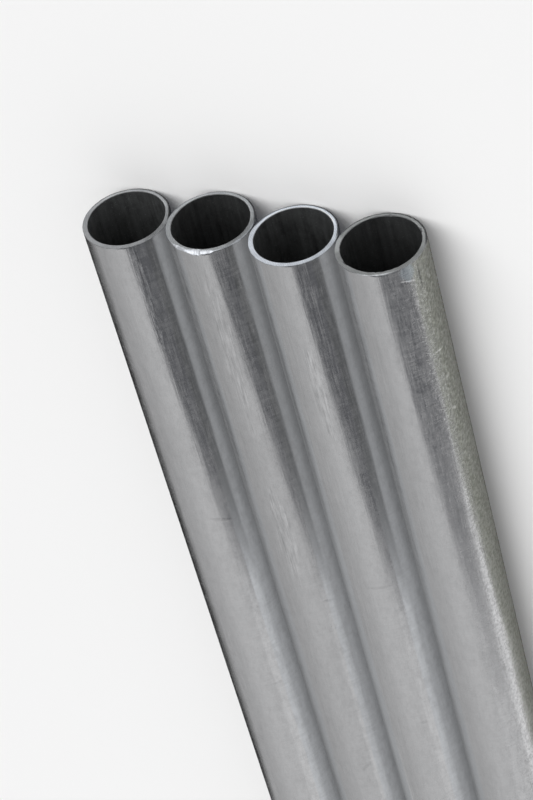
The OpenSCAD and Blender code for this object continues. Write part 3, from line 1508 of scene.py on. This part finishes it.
@dataclass
class Studio:
    """Pale floor, soft light, and the cards that give round metal its edges.

    The overhead cards lie along one leaning line. The sheets lie on the floor. Each line of the
    left sheet is how far it is from the row, its height and its level, and each point of the
    right patch is how far it is from the row and how long the patch is there.
    """

    floor_half: float = 30.0
    floor_colour: Shade = (0.92, 0.92, 0.92)
    sky_colour: Shade = (1.0, 1.0, 1.0)
    sky_span: Span = (0.85, -0.15)
    sky_levels: Span = (0.41, 0.63)
    glow_span: Span = (-0.40, -0.75)
    glow: float = 0.08
    key_strength: float = 1.75
    key_from: Triple = (0.25, -0.60, 0.75)
    key_spread: float = 64.0
    key_distance: float = 6.0
    key_levels: Span = (1.42, 0.62)
    key_cells: int = 9
    overhead_foot: Triple = (-2.60, 2.04, 0.0)
    overhead_run: Triple = (0.763, -0.610, 0.212)
    overhead_outward: Triple = (-0.643, -0.684, 0.345)
    dark_span: Span = (0.15, 3.75)
    dark_width: float = 2.6
    dark_shades: tuple[Shade, Shade] = ((0.16, 0.16, 0.168), (0.10, 0.104, 0.112))
    bright_span: Span = (0.6, 2.7)
    bright_width: float = -0.30
    bright_shade: Shade = (0.75, 0.75, 0.75)
    sheet_gap: float = 0.3 * MM
    sheet_inset: float = 6.0 * MM
    fade: Span = (0.25, 0.40)
    foot_lines: tuple[Triple, ...] = ((0.001, 0.0006, 0.0), (0.012, 0.0016, 0.0))
    pleated_lines: tuple[Triple, ...] = (
        (0.036, 0.004, 0.012), (0.072, 0.009, 0.085), (0.160, 0.022, 0.165), (0.200, 0.036, 0.24),
        (0.220, 0.090, 0.37))
    pleat: float = 5.0 * MM
    pleat_turn: float = 0.2 * MM
    pleat_depths: Span = (0.0, 6.0 * MM)
    pleat_backs: Span = (0.45, 0.80)
    under_shade: Shade = (0.80, 0.84, 0.90)
    strip_shades: tuple[Shade, Shade] = ((0.08, 0.08, 0.07), (0.37, 0.38, 0.33))
    strip_faded: Shade = (0.80, 0.80, 0.80)
    strip_reach: float = 0.026
    patch_profile: tuple[Span, ...] = ((0.08, 0.178), (0.13, 0.198), (0.70, 0.758))
    light_share: float = 3.0
    light_shade: Shade = (1.06, 1.06, 1.06)
    heel_shade: Shade = (0.04, 0.042, 0.05)
    heel_length: float = 13.0 * MM
    heel_margin: float = 4.0 * MM
    heel_lift: float = 0.1
    gap_inset: float = 0.5 * MM
    gap_sides: tuple[GapSide, ...] = (
        GapSide("back", 1, (5.7, 7.9, 6.8),
                heights=(-7.3, -5.5, -4.1, -3.4, -2.7, -1.9, -0.9, -0.45, 0.45, 2.2, 3.8),
                near=(0.19, 0.20, 0.245, 0.28, 0.335, 0.37, 0.37, 0.35, 0.13, 0.12, 0.11),
                far=(0.28, 0.27, 0.32, 0.36, 0.40, 0.43, 0.455, 0.47, 0.58, 0.69, 0.71),
                late=(0.142, 5.0)),
        GapSide("front", -1, (11.0, 8.9, 10.4),
                heights=(-12.0, -9.0, -7.0, -5.0, -3.5, -2.5, -1.5, -0.4, 0.5, 1.6, 3.4, 4.2),
                near=(0.09, 0.10, 0.11, 0.15, 0.195, 0.20, 0.18, 0.165, 0.26, 0.34, 0.42, 0.43),
                far=(0.12, 0.13, 0.155, 0.175, 0.215, 0.235, 0.29, 0.33, 0.375, 0.41, 0.44, 0.445)))

    def overhead(self, name: str, span: Span, width: float,
                 shades: Shade | tuple[Shade, Shade]) -> Card:
        """A card that leans over the row: its straight edge ends a band on each tube.

        Args:
            name: its name.
            span: where it starts and ends along the overhead line.
            width: how far it reaches outward from that line.
            shades: its shade, or one for each end.

        Returns:
            The card.
        """
        run, outward = (Vector(way).normalized() for way in (self.overhead_run, self.overhead_outward))
        line = [Vector(self.overhead_foot) + run * reach for reach in span]
        points = np.array([line, [point + outward * width for point in line]])
        return Card(name, points, np.array(shades))

    @staticmethod
    def sheet(name: str, sides: Span, ends: Span, height: float, shade: Shade) -> Card:
        """A flat sheet of one shade, from its sides across the row, its near and far ends and height."""
        return Card(name, np.array([[(x, y, height) for y in ends] for x in sides]), np.array(shade))

    def sheets(self) -> list[Card]:
        """The sheets on the floor beside and under the row, which its lower sides mirror.

        Returns:
            The cards.
        """
        low, high = CAD_BOX
        radius = (high.z + low.z) / 2
        ends = (low.y + self.sheet_inset, high.y)
        left, right, strip = high.x - radius, low.x + radius, low.x - self.strip_reach
        return [
            self.left_sheet(left, ends),
            self.sheet("under_sheet", (left, right), ends, self.sheet_gap, self.under_shade),
            self.right_strip((right, strip), ends),
            *self.right_patch(strip, ends[0]),
        ]

    def left_sheet(self, start: float, ends: Span) -> Card:
        """The sheet beside the first tube, which bends upward.

        Each pleat has four rows: the foot and the top of its steep dark side, which looks towards
        the near ends, then the top and the foot of its other side. That side is as pale as the
        floor, so only what is mirrored along the tubes from their near ends is dark.

        Args:
            start: where it starts across the row.
            ends: its near and far ends.

        Returns:
            The card.
        """
        edge = CAD_BOX[1].x
        lines = ((start - edge, self.sheet_gap, 0.0), *self.foot_lines, *self.pleated_lines)
        reach, height, dark = np.array(lines).T
        at_foot = reach < self.foot_lines[-1][0]
        first, last = self.fade
        folds = np.arange(*ends, self.pleat)
        turns = np.array([0.0, 0.0, self.pleat_turn, self.pleat - self.pleat_turn])
        on_top = np.tile([0.0, 1.0, 1.0, 0.0], len(folds))[:, None]
        on_back = np.tile([0.0, 0.0, 1.0, 1.0], len(folds))[:, None]
        y = (folds[:, None] + turns).ravel()[:, None] + 0 * reach
        lift = on_top * np.where(at_foot, *self.pleat_depths)
        faded = np.clip((y - ends[0] - first - np.maximum(reach, 0)) / (last - first), 0, 1)
        paled = np.maximum(faded, on_back)
        shades = paled * np.where(at_foot, *self.pleat_backs) + (1 - paled) * dark
        return Card("left_sheet", np.stack([edge + reach - lift, y, height + lift], -1), shades[..., None])

    def right_strip(self, sides: Span, ends: Span) -> Card:
        """The sheet beside the last tube, darkest next to it as painted shade for the floor's shadow
        there, which turns as pale as the floor further along.

        Args:
            sides: where its sides are across the row.
            ends: its near and far ends.

        Returns:
            The card.
        """
        points, shades = [], []
        for x, shade in zip(sides, self.strip_shades, strict=True):
            reach = max(CAD_BOX[0].x - x, 0.0)
            fading = (ends[0] + distance + reach for distance in self.fade)
            points.append([(x, y, self.sheet_gap) for y in (ends[0], *fading, ends[1])])
            shades.append([shade, shade, self.strip_faded, self.strip_faded])
        return Card("right_strip", np.array(points), np.array(shades))

    def right_patch(self, start: float, near: float) -> list[Card]:
        """The sheet beyond the right strip, whose far side slants away, and the bright floor behind it.

        Args:
            start: where it starts across the row.
            near: its near end.

        Returns:
            Both cards.
        """
        sides = [(start, self.patch_profile[0][1])]
        sides += [(CAD_BOX[0].x - reach, length) for reach, length in self.patch_profile]
        cards = []
        for name, shares, shade in (("right_patch", (0.0, 1.0), self.strip_shades[1]),
                                    ("right_light", (1.0, self.light_share), self.light_shade)):
            points = np.array([[(x, near + length * share, self.sheet_gap) for share in shares]
                               for x, length in sides])
            cards.append(Card(name, points, np.array(shade)))
        return cards

    def heel_cards(self) -> list[Card]:
        """Short dark sheets under the near ends, which the heels of the cuts mirror: painted shade that
        stands in for the shaded floor there.

        The one at the -X side stops short of the row's side.

        Returns:
            The cards.
        """
        cards = []
        for number, node in enumerate(frame["nodes"], start=1):
            low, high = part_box(node)
            margin = self.heel_margin if low.x > CAD_BOX[0].x + MM else -self.heel_margin
            sides, ends = (low.x - margin, high.x + self.heel_margin), (low.y, low.y + self.heel_length)
            height = self.sheet_gap * (1 + self.heel_lift * number)
            cards.append(self.sheet(f"heel_card_{number}", sides, ends, height, self.heel_shade))
        return cards

    def gap_cards(self) -> list[Card]:
        """Upright cards in the gaps between neighbours, one for each flank beside a gap.

        Returns:
            The cards.
        """
        boxes = sorted((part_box(node) for node in frame["nodes"]), key=lambda box: -box[0].x)
        cards = []
        for gap, (box, other) in enumerate(zip(boxes, boxes[1:], strict=False), start=1):
            middle = (box[0].x + other[1].x) / 2
            ends = (max(box[0].y, other[0].y) + self.gap_inset, CAD_BOX[1].y)
            cards += [side.card(gap, middle, ends) for side in self.gap_sides]
        return cards

    def key_card(self) -> Card:
        """The lamp as metal mirrors it: its level falls with the square of the distance from its middle.

        Returns:
            The card.
        """
        toward = Vector(self.key_from).normalized()
        side = toward.cross(Vector((0.0, 0.0, 1.0))).normalized()
        reach = self.key_distance * math.tan(math.radians(self.key_spread / 2))
        across, along = np.meshgrid(*[np.linspace(-1, 1, self.key_cells)] * 2, indexing="ij")
        points = (np.array(toward * self.key_distance) + across[..., None] * np.array(side * reach)
                  + along[..., None] * np.array(side.cross(toward) * reach))
        away = np.clip(across ** 2 + along ** 2, 0, 1)[..., None]
        middle, rim = self.key_levels
        return Card("key_card", points, middle + (rim - middle) * away)

    def key(self) -> None:
        """One broad soft lamp above and behind the camera, which metal mirrors as its card."""
        lamp = bpy.data.lights.new("key", "SUN")
        lamp.energy = self.key_strength
        lamp.angle = math.radians(self.key_spread)
        made = add_object("key", lamp)
        made.rotation_mode = "QUATERNION"
        made.rotation_quaternion = Vector(self.key_from).to_track_quat("Z", "Y")
        made.visible_glossy = False

    def floor(self) -> None:
        """Makes the floor, which takes the row's shadow."""
        half = self.floor_half
        corners = [(-half, -half, 0), (half, -half, 0), (half, half, 0), (-half, half, 0)]
        mesh = bpy.data.meshes.new("floor")
        mesh.from_pydata(corners, [], [tuple(range(len(corners)))])
        material = bpy.data.materials.new("floor")
        net = Network.of(material)
        net.node("OutputMaterial", net.node("BsdfDiffuse", self.floor_colour).outputs[0])
        mesh.materials.append(material)
        made = add_object("floor", mesh)

    def world(self) -> None:
        """Soft light from all round, a little stronger from the -X side, and a white backdrop."""
        world = bpy.data.worlds.new("studio")
        net = Network.of(world)
        across = net.part(net.node("TexCoord").outputs["Generated"], "X")
        sky = net.step(across, *self.sky_span, *self.sky_levels)
        level = net.math("ADD", sky, net.step(across, *self.glow_span, 0.0, self.glow))
        net.node("OutputWorld", net.node("Background", self.sky_colour, level).outputs[0])
        bpy.context.scene.world = world

    def build(self) -> None:
        """Sets up the studio and the plain view transform."""
        self.floor()
        self.world()
        self.key()
        cards = (
            self.key_card(),
            self.overhead("overhead_card", self.dark_span, self.dark_width, self.dark_shades),
            self.overhead("edge_card", self.bright_span, self.bright_width, self.bright_shade),
            *self.sheets(), *self.heel_cards(), *self.gap_cards())
        for card in cards:
            card.build()
        bpy.context.scene.view_settings.view_transform = "Standard"


@dataclass(frozen=True)
class Viewpoint:
    """The camera: it looks down on the near ends and is rolled, so that the tubes run down."""

    azimuth: float = -32.83
    elevation: float = 36.29
    roll: float = -148.85
    distance: float = 0.9067
    lens: float = 143.2
    aim_from_front: Span = (0.01085, 0.06979)

    def build(self) -> None:
        """Makes the camera and sets it as the scene's."""
        low, high = CAD_BOX
        a, e = math.radians(self.azimuth), math.radians(self.elevation)
        back = Vector((math.sin(a) * math.cos(e), -math.cos(a) * math.cos(e), math.sin(e)))
        aim = Vector((self.aim_from_front[0], low.y + self.aim_from_front[1], (low.z + high.z) / 2))
        turn = back.to_track_quat("Z", "Y").to_matrix() @ Matrix.Rotation(math.radians(self.roll), 3, "Z")
        data = bpy.data.cameras.new("camera")
        data.lens = self.lens
        made = add_object("camera", data)
        made.matrix_world = Matrix.Translation(aim + back * self.distance) @ turn.to_4x4()
        bpy.context.scene.camera = made


def main() -> None:
    """Builds the studio, the camera and the row."""
    logging.basicConfig(level=logging.INFO, format="%(name)s: %(message)s")
    Viewpoint().build()
    Studio().build()
    TubeRow().build(Effects())


if __name__ == "__main__":
    main()
